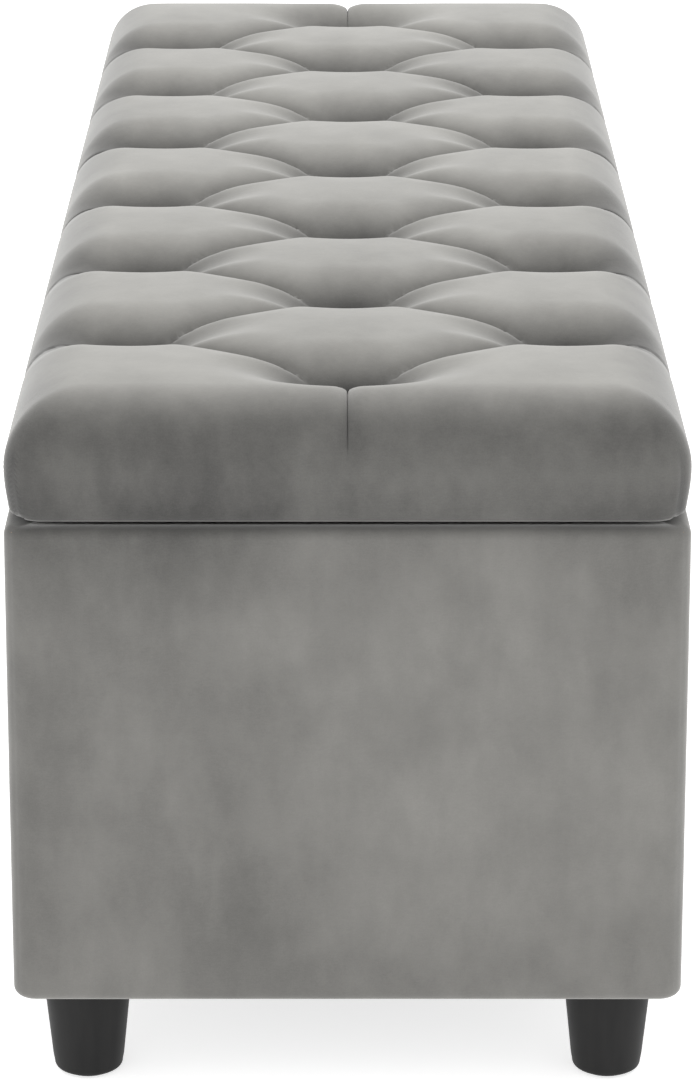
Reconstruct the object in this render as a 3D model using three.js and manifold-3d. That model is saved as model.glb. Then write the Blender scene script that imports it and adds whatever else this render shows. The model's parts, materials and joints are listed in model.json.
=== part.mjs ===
// Storage bench: an upholstered box on four turned legs, under a padded lid that
// swings up on three butt hinges and is held open by two slotted stays.
//
// Millimetres. +X runs along the bench, -Y is the front, +Y the hinge side, +Z is up,
// and the origin is on the floor under the middle of the bench.

import * as THREE from 'three';
import { mergeVertices } from 'three/addons/utils/BufferGeometryUtils.js';
import Module from 'manifold-3d';

const wasm = await Module();
wasm.setup();

// Driving dimensions
const benchLength = 1300;
const benchWidth = 425;
const benchHeight = 460;
const legHeight = 65;
const bodyHeight = 314;
const lidGap = 3.5; // open line between the body and the lid
const panelThickness = 16;
const coverThickness = 5; // velvet and the wadding under it
const hemThickness = 2; // velvet turned over an edge of a board, with no wadding
const sheetThickness = 1.5; // non-woven lining
const edgeRadius = 6; // upholstered edges of the body, and the lower edge of the lid
const bodyCornerRadius = 15; // upright corners, seen from above
const lidCornerRadius = 22;
const rollRadius = 44; // rounded upper edge of the lid
const fitGap = 0.3; // between pieces that touch
const smallRadius = 12; // round pieces up to this size are drawn with fewer sides
const cutOverrun = 1; // holes and recesses are cut this far past the faces they go through
const screwSpread = 0.7; // how far out the end screws are, as a share of the half length
const lidOpenAngle = 88; // degrees

// Planes and half sizes worked out from them
const halfLength = benchLength / 2;
const halfWidth = benchWidth / 2;
const bodyBottom = legHeight;
const bodyTop = bodyBottom + bodyHeight;
const lidBottom = bodyTop + lidGap;
const panelHalfLength = halfLength - coverThickness - fitGap;
const panelHalfWidth = halfWidth - coverThickness - fitGap;
const panelBottom = bodyBottom + hemThickness + fitGap;
const panelTop = bodyTop - hemThickness - fitGap;
const innerHalfLength = panelHalfLength - panelThickness;
const innerHalfWidth = panelHalfWidth - panelThickness;
const floorTop = panelBottom + panelThickness; // upper face of the base panel

// Lid
const lidBoardThickness = 15;
const lidHemWidth = 42;
const lidBoardInset = 10; // the pad and the cover wrap round the edge of the board
const lidLiningInset = 30;
const lidLiningThickness = 0.8;
const lidBoardBottom = lidBottom + hemThickness + fitGap;
const lidBoardTop = lidBoardBottom + lidBoardThickness;
const lidLiningTop = lidBottom - fitGap;
const bumperRadius = 6;
const bumperEndInset = 45;
const bumperFrontInset = 13;

// Legs and their fixings
const legInset = 45; // from each outer face of the body to the centre of the leg
const legTopRadius = 28.5;
const legFootRadius = 22;
const legFootFillet = 2.5;
const legTopChamfer = 1;
const glideRadius = 16;
const glideThickness = 1.5;
const boltRadius = 4;
const boltHoleRadius = boltRadius + fitGap;
const boltDepthInLeg = 28;
const tNutFlangeRadius = 11;
const tNutFlangeThickness = 1.5;
const tNutBarrelRadius = 5;
const tNutBarrelLength = 11;

// Carcass corners
const cornerBlockSide = 25;
const cornerBlockTopGap = 20; // how far the blocks stop below the top of the panels
const liningTopGap = 6; // how far the lining stops below the top of the panels

// Hinges
const hingeLength = 60;
const hingeKnuckles = 3;
const hingeEndInset = 140;
const barrelRadius = 4;
const hingePinRadius = 2;
const hingeBoreRadius = 2.25;
const leafThickness = 1.2;
const leafReach = 15; // from the hinge line to the far edge of a leaf
const pinHeadRadius = 3.2;
const pinHeadThickness = 0.8;
const pocketGap = 0.7; // clearance of the recess round a barrel
const screwHoleRadius = 1.8;
const hingeY = halfWidth - 4.5;
const hingeZ = (bodyTop + lidBottom) / 2;

// Lid stays. The pivot on the lid and the stud on the body are equally far from the hinge
// line, so the arm turns through exactly half of the angle of the lid.
const stayRadius = 150; // from the hinge line to the pivot and to the stud
const stayPivotDrop = 12; // the pivot below the hinge line, lid closed
const studAngle = 26; // degrees round the hinge line from the pivot to the stud, lid closed
const armWidth = 16;
const armThickness = 2.5;
const armTip = 11; // from the centre of the last stop of the slot to the end of the arm
const studRadius = 3;
const studHeadRadius = 5.5;
const slotClearance = 0.4;
const rivetRadius = 2.8;
const rivetHeadRadius = 5;
const rivetHeadThickness = 1.7;
const stayMetal = 2; // plate and bracket
const stayPlateWidth = 24;
const stayPlateHeight = 44;
const bracketTabWidth = 20;
const bracketFootWidth = 52;
const bracketFootReach = 21;

// Materials, one maker for each finish
const finishes = {
  velvet: { color: 0x9a9893, roughness: 0.95, metalness: 0 },
  board: { color: 0xb89a6c, roughness: 0.85, metalness: 0 },
  pine: { color: 0xcdaa74, roughness: 0.8, metalness: 0 },
  foam: { color: 0xe8dfb8, roughness: 1, metalness: 0 },
  lining: { color: 0x3a3b3d, roughness: 0.95, metalness: 0 },
  blackWood: { color: 0x2b2b2b, roughness: 0.6, metalness: 0 },
  felt: { color: 0x4a4644, roughness: 1, metalness: 0 },
  rubber: { color: 0x1c1c1c, roughness: 0.9, metalness: 0 },
  steel: { color: 0xb4b4b2, roughness: 0.35, metalness: 1 },
};

const bench = new THREE.Group();

function addPart(name, geometry, finish) {
  const mesh = new THREE.Mesh(geometry, new THREE.MeshStandardMaterial(finishes[finish]));
  mesh.name = name;
  bench.add(mesh);
  return mesh;
}

// Solids for joining and cutting

function toSolid(geometry) {
  const bare = geometry.clone();
  bare.deleteAttribute('normal');
  bare.deleteAttribute('uv');
  const merged = mergeVertices(bare);
  return new wasm.Manifold(new wasm.Mesh({
    numProp: 3,
    vertProperties: new Float32Array(merged.attributes.position.array),
    triVerts: new Uint32Array(merged.index.array),
  }));
}

function toGeometry(solid) {
  const mesh = solid.getMesh();
  const geometry = new THREE.BufferGeometry();
  geometry.setAttribute('position', new THREE.BufferAttribute(mesh.vertProperties, 3));
  geometry.setIndex(new THREE.BufferAttribute(mesh.triVerts, 1));
  geometry.computeVertexNormals();
  return geometry;
}

function cut(geometry, ...tools) {
  return toGeometry(tools.reduce((solid, tool) => solid.subtract(toSolid(tool)), toSolid(geometry)));
}

function join(geometry, ...others) {
  return toGeometry(others.reduce((solid, other) => solid.add(toSolid(other)), toSolid(geometry)));
}

// Basic shapes, each given by its extents

function block([x0, x1], [y0, y1], [z0, z1]) {
  const geometry = new THREE.BoxGeometry(x1 - x0, y1 - y0, z1 - z0);
  return geometry.translate((x0 + x1) / 2, (y0 + y1) / 2, (z0 + z1) / 2);
}

function slab(halfX, halfY, z0, z1) {
  return block([-halfX, halfX], [-halfY, halfY], [z0, z1]);
}

function sidesOf(radius) {
  return radius > smallRadius ? 32 : 16;
}

function rodUp(radius, z0, z1, x = 0, y = 0) {
  const geometry = new THREE.CylinderGeometry(radius, radius, z1 - z0, sidesOf(radius));
  return geometry.rotateX(Math.PI / 2).translate(x, y, (z0 + z1) / 2);
}

function rodAcross(radius, x0, x1, y = 0, z = 0) {
  const geometry = new THREE.CylinderGeometry(radius, radius, x1 - x0, sidesOf(radius));
  return geometry.rotateZ(Math.PI / 2).translate((x0 + x1) / 2, y, z);
}

function turned(profile, radius) {
  return new THREE.LatheGeometry(profile, sidesOf(radius)).rotateX(Math.PI / 2);
}

function extrudeUp(shape, z0, z1) {
  const settings = { depth: z1 - z0, bevelEnabled: false };
  return new THREE.ExtrudeGeometry(shape, settings).translate(0, 0, z0);
}

// A flat plate whose outline is drawn in Y and Z, extruded from x0 to x1
function extrudeAcross(shape, x0, x1) {
  const along = new THREE.Vector3(1, 0, 0);
  const outlineX = new THREE.Vector3(0, 1, 0);
  const outlineY = new THREE.Vector3(0, 0, 1);
  const turn = new THREE.Matrix4().makeBasis(outlineX, outlineY, along);
  const settings = { depth: x1 - x0, bevelEnabled: false, curveSegments: 4 };
  return new THREE.ExtrudeGeometry(shape, settings).applyMatrix4(turn).translate(x0, 0, 0);
}

function polygon(points) {
  return new THREE.Shape(points.map(([x, y]) => new THREE.Vector2(x, y)));
}

function circleHole(x, y, radius) {
  return new THREE.Path().absarc(x, y, radius, 0, 2 * Math.PI, true);
}

function roundedRectangle(halfX, halfY, radius) {
  const shape = new THREE.Shape();
  shape.absarc(halfX - radius, halfY - radius, radius, 0, Math.PI / 2);
  shape.absarc(radius - halfX, halfY - radius, radius, Math.PI / 2, Math.PI);
  shape.absarc(radius - halfX, radius - halfY, radius, Math.PI, 1.5 * Math.PI);
  shape.absarc(halfX - radius, radius - halfY, radius, 1.5 * Math.PI, 2 * Math.PI);
  shape.closePath();
  return shape;
}

// A closed solid through outlines stacked upwards; each level has an inset and a height
function stackedRectangles(levels) {
  const divisions = 3;
  const outlines = levels.map(({ inset, z }) => {
    const radius = lidCornerRadius + inset / 2;
    const points = roundedRectangle(halfLength - inset, halfWidth - inset, radius).getPoints(divisions);
    points.pop(); // the last point repeats the first
    return points.map((point) => [point.x, point.y, z]);
  });
  const ring = outlines[0].length;
  const top = outlines.length * ring;
  const vertices = outlines.flat();
  vertices.push([0, 0, levels.at(-1).z], [0, 0, levels[0].z]);
  const triangles = [];
  for (let i = 0; i < ring; i += 1) {
    const next = (i + 1) % ring;
    for (let level = 0; level < outlines.length - 1; level += 1) {
      const low = level * ring;
      const high = low + ring;
      triangles.push(low + i, low + next, high + next, low + i, high + next, high + i);
    }
    triangles.push(top - ring + i, top - ring + next, top);
    triangles.push(next, i, top + 1);
  }
  const geometry = new THREE.BufferGeometry();
  geometry.setAttribute('position', new THREE.Float32BufferAttribute(vertices.flat(), 3));
  geometry.setIndex(triangles);
  geometry.computeVertexNormals();
  return geometry;
}

// Heights and insets round a quarter circle, from the foot of the curve to its top
function quarterTurn(radius, centreInset, centreZ, steps, upper) {
  return Array.from({ length: steps + 1 }, (_, step) => {
    const angle = (Math.PI / 2) * (step / steps - (upper ? 0 : 1));
    return { inset: centreInset - radius * Math.cos(angle), z: centreZ + radius * Math.sin(angle) };
  });
}

// The four corners of the bench as signs, with the words for their names
const corners = [
  { name: 'front_left', alongX: -1, alongY: -1 },
  { name: 'front_right', alongX: 1, alongY: -1 },
  { name: 'back_left', alongX: -1, alongY: 1 },
  { name: 'back_right', alongX: 1, alongY: 1 },
];
const legCentreX = halfLength - legInset;
const legCentreY = halfWidth - legInset;

const hinges = [
  { name: 'left', x: -(halfLength - hingeEndInset) },
  { name: 'middle', x: 0 },
  { name: 'right', x: halfLength - hingeEndInset },
];

// The recess that each hinge barrel needs in whatever is beside it
function barrelPockets() {
  const half = hingeLength / 2 + pinHeadThickness + 2 * pocketGap;
  return hinges.map(({ x }) => rodAcross(barrelRadius + pocketGap, x - half, x + half, hingeY, hingeZ));
}

function forEachLeg(makeTool) {
  return corners.map(({ alongX, alongY }) => makeTool(alongX * legCentreX, alongY * legCentreY));
}

// Carcass: two long panels with the end panels and the base between them

function addLongPanels() {
  const inner = innerHalfWidth;
  const outer = panelHalfWidth;
  const ends = [-panelHalfLength, panelHalfLength];
  addPart('front_panel', block(ends, [-outer, -inner], [panelBottom, panelTop]), 'board');
  const back = block(ends, [inner, outer], [panelBottom, panelTop]);
  addPart('back_panel', cut(back, ...barrelPockets()), 'board');
}

function addEndPanels() {
  const across = [fitGap - innerHalfWidth, innerHalfWidth - fitGap];
  const upright = [panelBottom, panelTop];
  addPart('end_panel_left', block([-panelHalfLength, -innerHalfLength], across, upright), 'board');
  addPart('end_panel_right', block([innerHalfLength, panelHalfLength], across, upright), 'board');
}

function addBasePanel() {
  const panel = slab(innerHalfLength - fitGap, innerHalfWidth - fitGap, panelBottom, floorTop);
  const counterboreFloor = floorTop - tNutFlangeThickness - 2 * fitGap;
  const bottom = panelBottom - cutOverrun;
  const top = floorTop + cutOverrun;
  const bores = forEachLeg((x, y) => rodUp(tNutBarrelRadius + fitGap, bottom, top, x, y));
  const counterbores = forEachLeg((x, y) => (
    rodUp(tNutFlangeRadius + fitGap, counterboreFloor, top, x, y)));
  addPart('base_panel', cut(panel, ...bores, ...counterbores), 'board');
}

function addCornerBlocks() {
  const x = innerHalfLength - fitGap - cornerBlockSide / 2;
  const y = innerHalfWidth - fitGap - cornerBlockSide / 2;
  const z0 = floorTop + fitGap;
  const z1 = panelTop - cornerBlockTopGap;
  const half = cornerBlockSide / 2;
  const geometry = block([-half, half], [-half, half], [z0, z1]);
  for (const { name, alongX, alongY } of corners) {
    addPart(`corner_block_${name}`, geometry, 'pine').position.set(alongX * x, alongY * y, 0);
  }
}

// Body cover: one velvet sleeve, sewn at the four upright corners, whose upper and lower
// hems are turned over the edges of the panels

function bodySleeve() {
  const straight = bodyHeight - 2 * edgeRadius;
  const outer = new THREE.ExtrudeGeometry(roundedRectangle(halfLength, halfWidth, bodyCornerRadius), {
    depth: straight,
    bevelThickness: edgeRadius,
    bevelSize: edgeRadius,
    bevelOffset: -edgeRadius,
    bevelSegments: 3,
    curveSegments: 3,
  }).translate(0, 0, bodyBottom + edgeRadius);
  const cavity = slab(halfLength - coverThickness, halfWidth - coverThickness,
    bodyBottom + hemThickness, bodyTop - hemThickness);
  const mouth = slab(innerHalfLength, innerHalfWidth, bodyBottom - cutOverrun, bodyTop + cutOverrun);
  return toSolid(cut(outer, cavity, mouth, ...barrelPockets()));
}

function addBodyCovers() {
  const sleeve = bodySleeve();
  const seam = fitGap / Math.SQRT2; // half of the gap, measured along X
  const farX = halfLength + cutOverrun;
  const farY = halfWidth + cutOverrun;
  const ridge = halfLength - halfWidth; // where the mitre lines meet the middle of the bench
  const long = [[seam - farX, -farY], [farX - seam, -farY], [ridge - seam, 0], [seam - ridge, 0]];
  const short = [[ridge + seam, 0], [farX + seam, -farY], [farX + seam, farY]];
  const turn = (points) => points.map(([x, y]) => [-x, -y]);
  const wedges = { front: long, back: turn(long), left: turn(short), right: short };
  for (const [name, points] of Object.entries(wedges)) {
    const wedge = extrudeUp(polygon(points), bodyBottom - cutOverrun, bodyTop + cutOverrun);
    addPart(`body_cover_${name}`, toGeometry(sleeve.intersect(toSolid(wedge))), 'velvet');
  }
}

// Lining: an open box of thin sheet that steps round the corner blocks

function steppedOutline(halfX, halfY, step) {
  const quarter = [[halfX, halfY - step], [halfX - step, halfY - step], [halfX - step, halfY]];
  const mirrored = quarter.map(([x, y]) => [-x, y]).reverse();
  const upper = [...quarter, ...mirrored];
  const lower = upper.map(([x, y]) => [-x, -y]);
  return polygon([...upper, ...lower]);
}

function addInteriorLining() {
  const halfX = innerHalfLength - fitGap;
  const halfY = innerHalfWidth - fitGap;
  const step = cornerBlockSide + fitGap;
  const z0 = floorTop + fitGap;
  const z1 = panelTop - liningTopGap;
  const outside = extrudeUp(steppedOutline(halfX, halfY, step), z0, z1);
  const inside = extrudeUp(steppedOutline(halfX - sheetThickness, halfY - sheetThickness, step),
    z0 + sheetThickness, z1 + cutOverrun);
  addPart('interior_lining', cut(outside, inside), 'lining');
}

function addDustCover() {
  const sheet = slab(innerHalfLength - fitGap, innerHalfWidth - fitGap,
    bodyBottom + fitGap, panelBottom - 2 * fitGap);
  const holes = forEachLeg((x, y) => (
    rodUp(boltHoleRadius, bodyBottom - cutOverrun, panelBottom + cutOverrun, x, y)));
  addPart('dust_cover', cut(sheet, ...holes), 'lining');
}

// Legs: tapered turnings on hanger bolts, which screw into T-nuts in the base panel

function legProfile() {
  const foot = glideThickness + fitGap;
  const top = bodyBottom - fitGap;
  const holeFloor = top - boltDepthInLeg;
  const profile = [new THREE.Vector2(0, foot)];
  const filletSteps = 3;
  for (let step = 0; step <= filletSteps; step += 1) {
    const angle = (Math.PI / 2) * (step / filletSteps);
    profile.push(new THREE.Vector2(
      legFootRadius - legFootFillet * (1 - Math.sin(angle)),
      foot + legFootFillet * (1 - Math.cos(angle)),
    ));
  }
  profile.push(new THREE.Vector2(legTopRadius, top - legTopChamfer));
  profile.push(new THREE.Vector2(legTopRadius - legTopChamfer, top));
  profile.push(new THREE.Vector2(boltHoleRadius, top));
  profile.push(new THREE.Vector2(boltHoleRadius, holeFloor));
  profile.push(new THREE.Vector2(0, holeFloor));
  return profile;
}

function tNutProfile() {
  const top = floorTop - fitGap;
  const flangeBottom = top - tNutFlangeThickness;
  const bottom = flangeBottom - tNutBarrelLength;
  return [
    new THREE.Vector2(boltHoleRadius, bottom),
    new THREE.Vector2(tNutBarrelRadius, bottom),
    new THREE.Vector2(tNutBarrelRadius, flangeBottom),
    new THREE.Vector2(tNutFlangeRadius, flangeBottom),
    new THREE.Vector2(tNutFlangeRadius, top),
    new THREE.Vector2(boltHoleRadius, top),
    new THREE.Vector2(boltHoleRadius, bottom),
  ];
}

function addLegs() {
  const boltBottom = bodyBottom - boltDepthInLeg + fitGap;
  const boltTop = floorTop - 2 * fitGap;
  const pieces = [
    { kind: 'leg', geometry: turned(legProfile(), legTopRadius), finish: 'blackWood' },
    { kind: 'leg_bolt', geometry: rodUp(boltRadius, boltBottom, boltTop), finish: 'steel' },
    { kind: 'leg_t_nut', geometry: turned(tNutProfile(), boltRadius), finish: 'steel' },
    { kind: 'foot_glide', geometry: rodUp(glideRadius, 0, glideThickness), finish: 'felt' },
  ];
  for (const { kind, geometry, finish } of pieces) {
    for (const { name, alongX, alongY } of corners) {
      const piece = addPart(`${kind}_${name}`, geometry, finish);
      piece.position.set(alongX * legCentreX, alongY * legCentreY, 0);
    }
  }
}

// Hinges: each is drawn about its own hinge line and set down on it

function knuckle(x0, x1, plateZ) {
  const ring = cut(
    rodAcross(barrelRadius, x0, x1),
    rodAcross(hingeBoreRadius, x0 - cutOverrun, x1 + cutOverrun),
  );
  const wallMiddle = -(barrelRadius + hingeBoreRadius) / 2;
  return join(ring, block([x0, x1], [wallMiddle - barrelRadius, wallMiddle], plateZ));
}

function hingeLeaf(spans, plateZ) {
  const half = hingeLength / 2;
  const plateEnd = -(barrelRadius + fitGap);
  const plate = block([-half, half], [-leafReach, plateEnd], plateZ);
  const knuckles = spans.map(([x0, x1]) => knuckle(x0, x1, plateZ));
  const screwY = (plateEnd - leafReach) / 2;
  const screwXs = [-half * screwSpread, 0, half * screwSpread];
  const holes = screwXs.map((x) => (
    rodUp(screwHoleRadius, plateZ[0] - cutOverrun, plateZ[1] + cutOverrun, x, screwY)));
  return cut(join(plate, ...knuckles), ...holes);
}

function hingePin() {
  const half = hingeLength / 2;
  return join(
    rodAcross(hingePinRadius, -half, half + fitGap + pinHeadThickness / 2),
    rodAcross(pinHeadRadius, half + fitGap, half + fitGap + pinHeadThickness),
  );
}

function addHinges() {
  const half = hingeLength / 2;
  const halfKnuckle = hingeLength / hingeKnuckles / 2;
  const lowerZ = [bodyTop + fitGap - hingeZ, bodyTop + fitGap + leafThickness - hingeZ];
  const upperZ = lowerZ.map((z) => -z).reverse();
  const outerSpans = [[-half, -halfKnuckle - fitGap], [halfKnuckle + fitGap, half]];
  const bodyLeaf = hingeLeaf(outerSpans, lowerZ);
  const lidLeaf = hingeLeaf([[-halfKnuckle, halfKnuckle]], upperZ);
  const pin = hingePin();
  for (const { name, x } of hinges) {
    addPart(`hinge_body_leaf_${name}`, bodyLeaf, 'steel').position.set(x, hingeY, hingeZ);
    addPart(`hinge_lid_leaf_${name}`, lidLeaf, 'steel').position.set(x, hingeY, hingeZ);
    addPart(`hinge_pin_${name}`, pin, 'steel').position.set(x, hingeY, hingeZ);
  }
}

// Stays. Depths are measured inwards from the face of the lining on the end panel.

const liningFace = innerHalfLength - fitGap - sheetThickness;
const plateDepth = [fitGap, fitGap + stayMetal];
const tabDepth = [plateDepth[1] + fitGap, plateDepth[1] + fitGap + stayMetal];
const armDepth = [tabDepth[1] + fitGap, tabDepth[1] + fitGap + armThickness];
const pivotLine = Math.asin(stayPivotDrop / stayRadius); // of the pivot, below level
const studLine = pivotLine + THREE.MathUtils.degToRad(studAngle);
const pivotPoint = { y: hingeY - stayRadius * Math.cos(pivotLine), z: hingeZ - stayPivotDrop };
const studPoint = {
  y: hingeY - stayRadius * Math.cos(studLine),
  z: hingeZ - stayRadius * Math.sin(studLine),
};
// Chords of the circle round the hinge line, from the pivot to the stud
const slotStart = 2 * stayRadius * Math.sin(THREE.MathUtils.degToRad(studAngle / 2));
const slotEnd = 2 * stayRadius * Math.sin(THREE.MathUtils.degToRad((studAngle + lidOpenAngle) / 2));

// The x extents on one side of the bench of something between two depths
function atDepth(side, [near, far]) {
  const xs = [side * (liningFace - near), side * (liningFace - far)];
  return xs.sort((a, b) => a - b);
}

// A straight bar with round ends, hanging down from its upper centre at the origin
function roundEndedBar(top, bottom, halfBar) {
  const shape = new THREE.Shape();
  shape.absarc(0, -top, halfBar, 0, Math.PI);
  shape.absarc(0, -bottom, halfBar, Math.PI, 2 * Math.PI);
  shape.closePath();
  return shape;
}

function addStayArm(side, name) {
  const shape = roundEndedBar(0, slotEnd + armTip - armWidth / 2, armWidth / 2);
  shape.holes.push(roundEndedBar(slotStart, slotEnd, studRadius + slotClearance));
  shape.holes.push(circleHole(0, 0, rivetRadius + fitGap));
  const arm = addPart(`stay_arm_${name}`, extrudeAcross(shape, ...atDepth(side, armDepth)), 'steel');
  arm.position.set(0, pivotPoint.y, pivotPoint.z);
  arm.rotation.x = Math.atan2(studPoint.y - pivotPoint.y, pivotPoint.z - studPoint.z);
}

function addStayBodyPlate(side, name) {
  const headStart = armDepth[1] + fitGap;
  const plateShape = roundedRectangle(stayPlateWidth / 2, stayPlateHeight / 2, stayPlateWidth / 4);
  const screwZ = stayPlateHeight / 2 - stayPlateWidth / 4 - screwHoleRadius / 2;
  for (const z of [-screwZ, screwZ]) {
    plateShape.holes.push(circleHole(0, z, screwHoleRadius));
  }
  const plate = extrudeAcross(plateShape, ...atDepth(side, plateDepth));
  const studDepth = [plateDepth[1] - stayMetal / 2, headStart + stayMetal / 2];
  const stud = rodAcross(studRadius, ...atDepth(side, studDepth));
  const head = rodAcross(studHeadRadius, ...atDepth(side, [headStart, headStart + stayMetal]));
  const piece = addPart(`stay_body_plate_${name}`, join(plate, stud, head), 'steel');
  piece.position.set(0, studPoint.y, studPoint.z);
}

function addStayLidBracket(side, name) {
  const footTop = lidLiningTop - lidLiningThickness - fitGap - pivotPoint.z;
  const halfTab = bracketTabWidth / 2;
  const tabShape = new THREE.Shape();
  tabShape.absarc(0, 0, halfTab, Math.PI, 2 * Math.PI);
  tabShape.lineTo(halfTab, footTop);
  tabShape.lineTo(-halfTab, footTop);
  tabShape.closePath();
  const tab = extrudeAcross(tabShape, ...atDepth(side, tabDepth));
  const footXs = atDepth(side, [tabDepth[0], tabDepth[0] + bracketFootReach]);
  const halfFoot = bracketFootWidth / 2;
  const foot = block(footXs, [-halfFoot, halfFoot], [footTop - stayMetal, footTop]);
  const rivetHole = rodAcross(rivetRadius + fitGap, ...atDepth(side, [plateDepth[0], armDepth[1]]));
  const screwX = (footXs[0] + footXs[1]) / 2;
  const screwYs = [-halfFoot * screwSpread, halfFoot * screwSpread];
  const screws = screwYs.map((y) => rodUp(screwHoleRadius, 0, footTop + cutOverrun, screwX, y));
  const bracket = cut(join(tab, foot), rivetHole, ...screws);
  const piece = addPart(`stay_lid_bracket_${name}`, bracket, 'steel');
  piece.position.set(0, pivotPoint.y, pivotPoint.z);
}

function addStayRivet(side, name) {
  const outerHead = [tabDepth[0] - fitGap - rivetHeadThickness, tabDepth[0] - fitGap];
  const innerHead = [armDepth[1] + fitGap, armDepth[1] + fitGap + rivetHeadThickness];
  const piece = addPart(`stay_rivet_${name}`, join(
    rodAcross(rivetRadius, ...atDepth(side, [outerHead[0] + fitGap, innerHead[1] - fitGap])),
    rodAcross(rivetHeadRadius, ...atDepth(side, outerHead)),
    rodAcross(rivetHeadRadius, ...atDepth(side, innerHead)),
  ), 'steel');
  piece.position.set(0, pivotPoint.y, pivotPoint.z);
}

function addStays() {
  for (const [name, side] of [['left', -1], ['right', 1]]) {
    addStayArm(side, name);
    addStayBodyPlate(side, name);
    addStayLidBracket(side, name);
    addStayRivet(side, name);
  }
}

// Lid: a board under a foam pad, in a velvet cover whose hem is turned under the board

function rolledTop(offset, steps) {
  return quarterTurn(rollRadius - offset, rollRadius, benchHeight - rollRadius, steps, true);
}

function addLidCover() {
  const lowerEdge = quarterTurn(edgeRadius, edgeRadius, lidBottom + edgeRadius, 3, false);
  const outer = stackedRectangles([...lowerEdge, ...rolledTop(0, 7)]);
  const cavity = stackedRectangles([
    { inset: coverThickness, z: lidBottom + hemThickness },
    ...rolledTop(coverThickness, 5),
  ]);
  const mouth = slab(halfLength - lidHemWidth, halfWidth - lidHemWidth,
    lidBottom - cutOverrun, lidBoardBottom + cutOverrun);
  addPart('lid_cover', cut(outer, cavity, mouth, ...barrelPockets()), 'velvet');
}

function addLidBoard() {
  const inset = lidBoardInset;
  const board = stackedRectangles([{ inset, z: lidBoardBottom }, { inset, z: lidBoardTop }]);
  addPart('lid_board', board, 'board');
}

function addLidFoam() {
  const offset = coverThickness + fitGap;
  const foam = stackedRectangles([{ inset: offset, z: lidBoardTop + fitGap }, ...rolledTop(offset, 5)]);
  addPart('lid_foam', foam, 'foam');
}

function addLidLining() {
  const sheet = slab(halfLength - lidLiningInset, halfWidth - lidLiningInset,
    lidLiningTop - lidLiningThickness, lidLiningTop);
  addPart('lid_lining', sheet, 'lining');
}

function addLidBumpers() {
  const bumper = rodUp(bumperRadius, bodyTop + fitGap, lidBottom - fitGap);
  const x = halfLength - bumperEndInset;
  addPart('lid_bumper_left', bumper, 'rubber').position.set(-x, bumperFrontInset - halfWidth, 0);
  addPart('lid_bumper_right', bumper, 'rubber').position.set(x, bumperFrontInset - halfWidth, 0);
}

addLongPanels();
addEndPanels();
addBasePanel();
addCornerBlocks();
addBodyCovers();
addInteriorLining();
addDustCover();
addLegs();
addHinges();
addStays();
addLidBoard();
addLidFoam();
addLidCover();
addLidLining();
addLidBumpers();

export default bench;
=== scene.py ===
"""The looks of a storage bench: a deeply tufted velvet lid on a velvet-covered box.

Metres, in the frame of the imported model: +X along the bench, -Y the front, +Y the hinges.
"""
import json
import math

import bpy
import numpy as np
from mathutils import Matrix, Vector


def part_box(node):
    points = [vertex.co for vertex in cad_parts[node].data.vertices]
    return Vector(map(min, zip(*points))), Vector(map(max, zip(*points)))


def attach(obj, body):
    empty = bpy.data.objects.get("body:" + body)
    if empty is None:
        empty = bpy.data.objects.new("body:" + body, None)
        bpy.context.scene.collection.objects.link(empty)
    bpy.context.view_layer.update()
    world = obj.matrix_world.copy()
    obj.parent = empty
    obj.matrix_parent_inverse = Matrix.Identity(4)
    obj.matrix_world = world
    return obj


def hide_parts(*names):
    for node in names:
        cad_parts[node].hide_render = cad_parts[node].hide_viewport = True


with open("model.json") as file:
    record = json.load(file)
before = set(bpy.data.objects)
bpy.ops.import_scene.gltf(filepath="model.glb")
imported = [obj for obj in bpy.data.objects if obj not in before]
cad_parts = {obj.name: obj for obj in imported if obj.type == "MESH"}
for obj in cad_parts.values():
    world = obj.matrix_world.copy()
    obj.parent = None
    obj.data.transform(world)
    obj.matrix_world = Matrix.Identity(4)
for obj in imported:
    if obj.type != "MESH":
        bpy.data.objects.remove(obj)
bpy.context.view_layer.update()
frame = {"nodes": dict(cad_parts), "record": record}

MM = 0.001

# Sizes that come from the frame
lid_low, lid_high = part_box("lid_cover")
body_low, body_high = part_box("body_cover_front")
board_low, board_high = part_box("lid_board")
panel_low, panel_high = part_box("front_panel")
end_low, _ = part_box("end_panel_right")
HALF_LENGTH = lid_high.x
HALF_WIDTH = lid_high.y
LID_BOTTOM = lid_low.z
LID_TOP = lid_high.z
BODY_BOTTOM = body_low.z
BODY_TOP = body_high.z

# Camera and studio, with lengths in metres
CAMERA_PLACE = (3.205, 0.0, 1.213)
CAMERA_TILT = 16.16  # degrees below level
CAMERA_LENS = 145.7
CAMERA_SHIFT = -0.1435  # keeps the upright edges near to upright
CAMERA_REACH = 100
FLOOR_HALF = 12
FLOOR_GLOW = 0.7  # light of its own, which keeps the floor pale under the bench
WORLD_LIGHT = 0.95

# Shape of the upholstery
ROLL_RADIUS = 46 * MM  # upper edge of the lid
TUCK_RADIUS = 7 * MM  # lower edge of the lid
EDGE_RADIUS = 6 * MM  # upper and lower edges of the body
LID_CORNER_RADIUS = 22 * MM  # upright corners, seen from above
BODY_CORNER_RADIUS = 15 * MM
SIDE_BULGE = 2.5 * MM  # how far the side of the lid swells past its lower edge
ROWS = 7  # tufts along the middle of the lid; the outer lines have one fewer
CELL = 2 * HALF_LENGTH / ROWS
OUTER_LINE = 2 * HALF_WIDTH / 3  # from the middle of the lid to the outer lines of tufts
TUFT_DEPTH = 42 * MM
TUFT_REACH = 58 * MM  # along the bench, from a tuft to the full height of the pad
TUFT_SPREAD = 1.6  # how much wider than long the dip round a tuft is
TUFT_SOFTNESS = 2  # power of the fall from the edge of a dip to its tuft
FOLD_DEPTH = 18 * MM
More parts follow.
